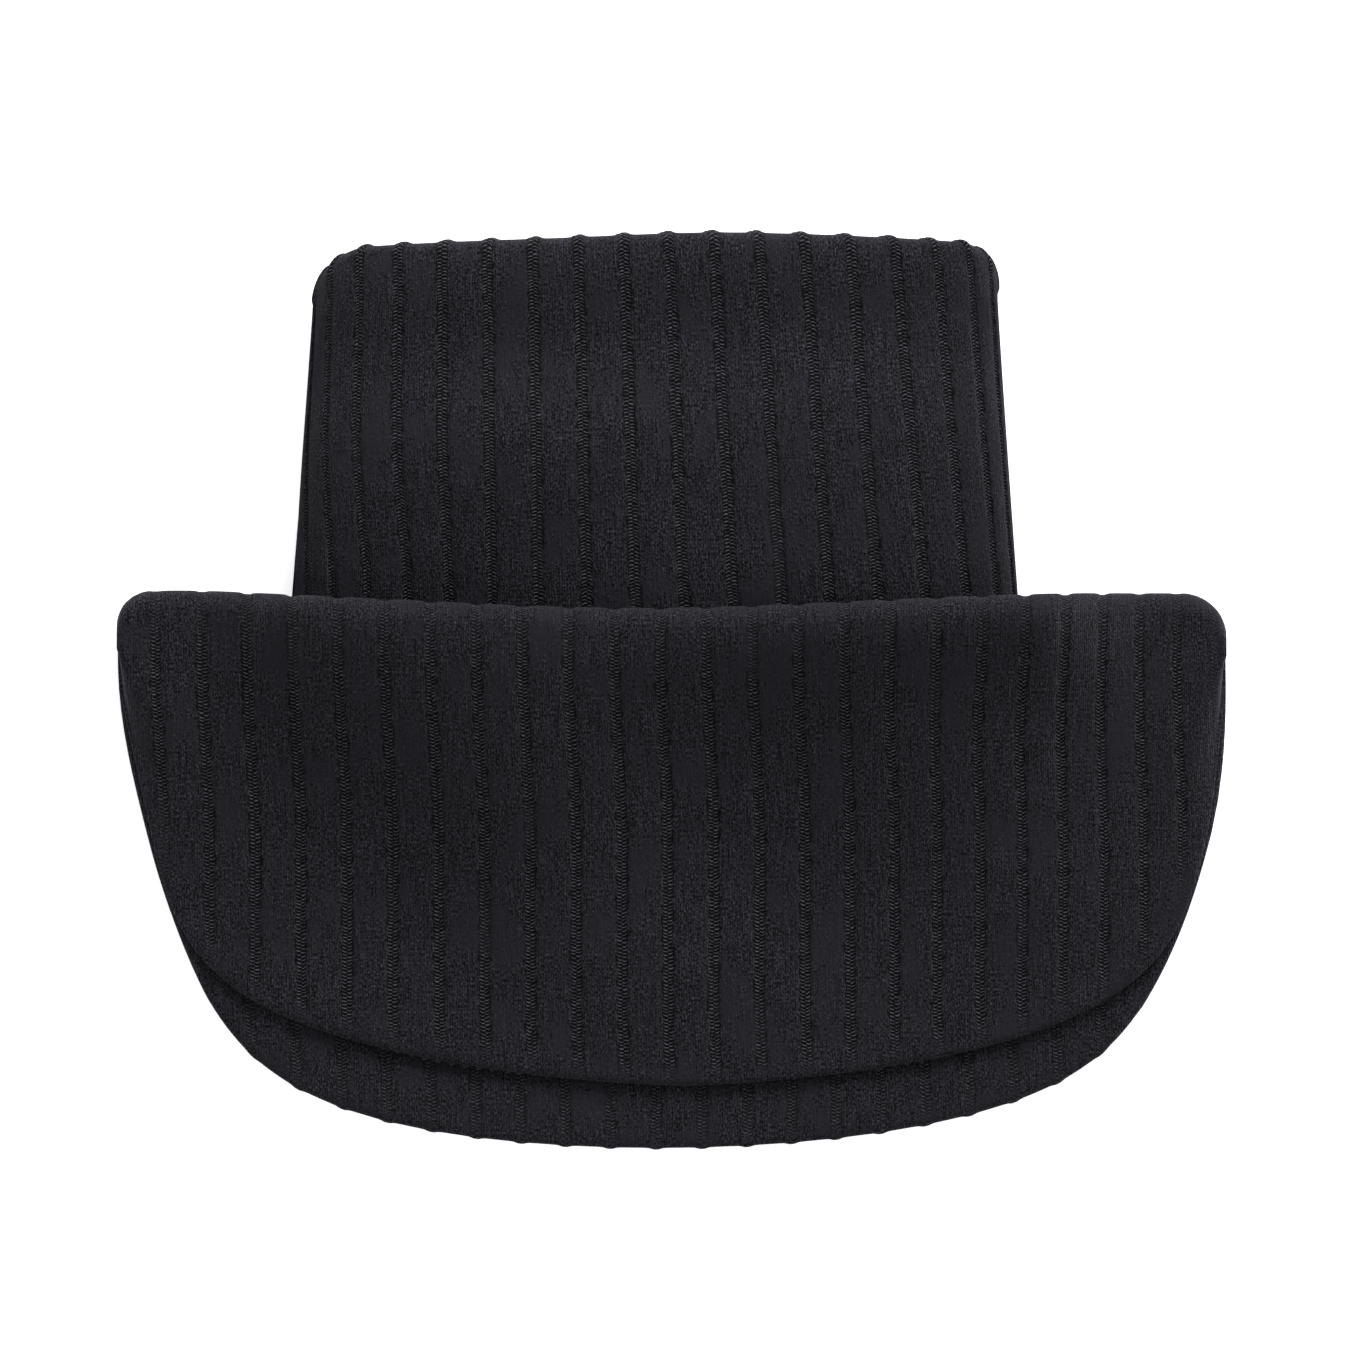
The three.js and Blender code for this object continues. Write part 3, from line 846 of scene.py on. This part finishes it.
def yarn(name, paths, radius, node, gap=0.45):
    """Two plies twisted round each path."""
    points, faces = [], []
    for path in paths:
        path, at = evenly(np.asarray(path, float), gap)
        ahead = np.gradient(path, axis=0)
        ahead /= np.maximum(np.linalg.norm(ahead, axis=1, keepdims=True), 1e-9)
        aside = np.cross(ahead, (0.05, 0.03, 1))
        aside /= np.linalg.norm(aside, axis=1, keepdims=True)
        above = np.cross(aside, ahead)
        for ply in (0, math.pi):
            twist = (2 * math.pi * at / ply_lay + ply)[:, None]
            core = path + radius * (1 - ply_share) * (np.cos(twist) * aside + np.sin(twist) * above)
            first = len(points)
            for side in range(ply_sides):
                around = 2 * math.pi * side / ply_sides
                ring = core + radius * ply_share * (math.cos(around) * aside + math.sin(around) * above)
                points.extend(ring * mm)
            count = len(core)
            for side in range(ply_sides):
                a, b = first + side * count, first + (side + 1) % ply_sides * count
                faces += [(a + i, a + i + 1, b + i + 1, b + i) for i in range(count - 1)]
            faces.append([first + side * count for side in range(ply_sides)])
            faces.append([first + side * count + count - 1 for side in range(ply_sides)][::-1])
    mesh = bpy.data.meshes.new(name)
    mesh.from_pydata([tuple(p) for p in points], [], faces)
    mesh.shade_smooth()
    mesh.materials.append(seam_finish)
    strand = bpy.data.objects.new(name, mesh)
    scene.collection.objects.link(strand)
    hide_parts(node)
    return strand


def bend_with_front(piece):
    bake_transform(piece)


linking_radius = 0.7
shoulder_radius = 0.6
closing_radius = 0.6
hem_radius = 0.5
hem_stitch = 3.6
hem_swing = 0.9
hem_seam_inset = 0.3
hem_seam_lift = 0.3
seam_curl = 12  # degrees past the rolled edge of the front bib
across_seam = np.array((0, 1, 0))
ring = np.linspace(-math.pi / 2, 1.5 * math.pi, 400)
neck_path = collar_point(ring, np.zeros_like(ring), collar_turn / 2) - (0, linking_room / 2, 0)
linking = yarn("neck_linking_yarn", [zigzag(neck_path, across_seam, wide=0.85, pitch=2.0)],
               linking_radius, "neck_linking_thread")
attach(linking, "back_bib")

seam_from = collar_neck_width / 2 + 3 + fold_shoulder_run / 2
end_angle = math.radians(-fold_curl - seam_curl)
for side, hand, corner in ((-1, "left", bib_corners[0]), (1, "right", bib_corners[1])):
    seam_x = side * np.linspace(seam_from, bib_width / 2 - corner, 12)
    seam_path = np.stack([seam_x, seam_y + fold_y(seam_x) + (fold_radius - layer / 2) * math.cos(end_angle),
                          fold_z(seam_x) + (fold_radius - layer / 2) * math.sin(end_angle)], axis=1)
    seam = yarn(hand + "_shoulder_seam_yarn", [zigzag(seam_path, across_seam, wide=0.5, pitch=2.4)],
                shoulder_radius, hand + "_shoulder_seam_thread")
    bend_with_front(seam)

closing_y = np.linspace(3, collar_height - 9, 60)
closing_inset = collar_turn - inner_drop * (1 - smoothstep(closing_y, 0, inner_drop_run)) + closing_radius
closing_path = collar_point(np.full_like(closing_y, -math.pi / 2), closing_y, closing_inset)
closing_stitches = zigzag(closing_path, np.array((1, 0, 0)), wide=0.8, pitch=2.4)
closing = yarn("collar_closing_seam_yarn", [closing_stitches], closing_radius, "collar_closing_seam_thread")
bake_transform(closing)


def hem_path(cut, inset):
    """The line of hem stitches, an even distance inside the lower edge."""
    line = outline(cut, 0.6)
    line = line[np.abs(line[:, 1]) > 12]
    step = np.gradient(line, axis=0)
    step /= np.maximum(np.linalg.norm(step, axis=1, keepdims=True), 1e-9)
    inward = np.stack([-step[:, 1], step[:, 0]], axis=1)
    return line + inward * inset


def hem_yarn(name, cut, height, node):
    line = hem_path(cut, hem_depth + hem_seam_inset)
    lifted = np.stack([line[:, 0], line[:, 1], height(line[:, 0], line[:, 1])], axis=1)
    lifted[:, 0] += sway(lifted[:, 0], lifted[:, 1])
    lifted[:, 1] += seam_y
    path, at = evenly(lifted, 0.3)
    swing = hem_swing * np.sin(2 * math.pi * at / hem_stitch)
    aim = np.gradient(path, axis=0)
    aim /= np.linalg.norm(aim, axis=1, keepdims=True)
    path = path + np.stack([-aim[:, 1], aim[:, 0], 0 * at], axis=1) * swing[:, None]
    return yarn(name, [path], hem_radius, node)


front_hem = hem_yarn("front_hem_yarn", front_cut,
                     lambda x, y: front_z(x, y, hem_depth) - layer - hem_radius, "front_hem_thread")
bend_with_front(front_hem)
back_hem = hem_yarn("back_hem_yarn", back_cut,
                    lambda x, y: np.full_like(x, layer + hem_radius + hem_seam_lift), "back_hem_thread")
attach(back_hem, "back_bib")

# ---------- the care label ----------
# A blank black satin ribbon, folded double at its top and sewn to the inside of the back bib just
# below the neck seam by one row of short stitches.

label_width = 30
label_length = 42
label_thickness = 0.35
label_height = 2.9
label_stitch_inset = 2.5
label_corner = 0.6
label_fold = 5  # how far its top end is folded double
label_start = seam_y - linking_room - neck_gap
label_colour = (0.008, 0.008, 0.009)


def label_satin():
    """Black satin: long floats across the ribbon, their crests painted lighter as a painted sheen, so it
    looks brighter along the floats than across them.
    """
    material, f, shader = new_finish("label_satin")
    knit = f.node("ShaderNodeAttribute", {"attribute_name": "knit"}, output=1)
    along = f.node("ShaderNodeSeparateXYZ", None, {"Vector": knit}, 1)
    across = f.node("ShaderNodeSeparateXYZ", None, {"Vector": knit}, 0)
    floats = (along * 3.6).wave() * ((across * 0.9 + along * 1.8).wave() * 0.5 + 0.5)
    cloud = f.node("ShaderNodeTexNoise", None, {"Vector": knit, "Scale": 0.4, "Detail": 3.0})
    bump = f.node("ShaderNodeBump", None, {"Strength": 0.5, "Distance": 0.0001, "Height": floats})
    # The floats lighten the colour: a painted sheen on their crests.
    tint = f.node("ShaderNodeVectorMath", {"operation": "SCALE"},
                  {0: label_colour, "Scale": floats * 0.6 + cloud * 0.6 + 0.5})
    f.tree.links.new(tint.socket, shader.inputs["Base Color"])
    f.tree.links.new(bump.socket, shader.inputs["Normal"])
    f.tree.links.new((0.3 + cloud * 0.25).socket, shader.inputs["Roughness"])
    return material


label_x, label_y = np.meshgrid(np.linspace(-label_width / 2, label_width / 2, 41),
                               np.linspace(0, -label_length, 57))
to_edge = np.minimum(label_width / 2 - np.abs(label_x), np.minimum(-label_y, label_y + label_length))
label_edge = np.sqrt(1 - (1 - np.clip(to_edge / label_corner, 0, 1)) ** 2)
folded_end = 1 - smoothstep(-label_y, label_fold, label_fold + label_corner)
wavy = 0.25 * np.sin(label_y * 0.16 + 0.6) * np.sin(label_x * 0.11 + 1.2) * smoothstep(-label_y, 4, 16)
label_top = label_height + label_thickness * (1 + folded_end) + wavy
label_face = np.stack([label_x, label_start + label_y, label_top], axis=2)
label_normal = np.zeros_like(label_face)
label_normal[..., 2] = 1
label = cloth("care_label_ribbon", label_face, label_normal, label_thickness * (1 + folded_end), label_edge,
              label_x, label_y, np.ones_like(label_x), label_satin())
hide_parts("care_label")
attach(label, "back_bib")

stitch_length = 2.2
stitch_gap = 0.8
stitch_end = 0.35  # along each stitch, where the yarn goes down
stitch_up = 0.2
stitch_down = 0.25
stitch_y = label_start - label_stitch_inset
stitch_z = label_height + 2 * label_thickness
stitches = []
for start in np.arange(2.5 - label_width / 2, label_width / 2 - 4, stitch_length + stitch_gap):
    end = start + stitch_length
    low = stitch_z - stitch_down
    high = stitch_z + stitch_up
    stitches.append([(start, stitch_y, low), (start + stitch_end, stitch_y, high),
                     (end - stitch_end, stitch_y, high), (end, stitch_y, low)])
label_sewing = yarn("care_label_sewing", stitches, 0.26, "care_label_stitches", gap=0.2)
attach(label_sewing, "back_bib")
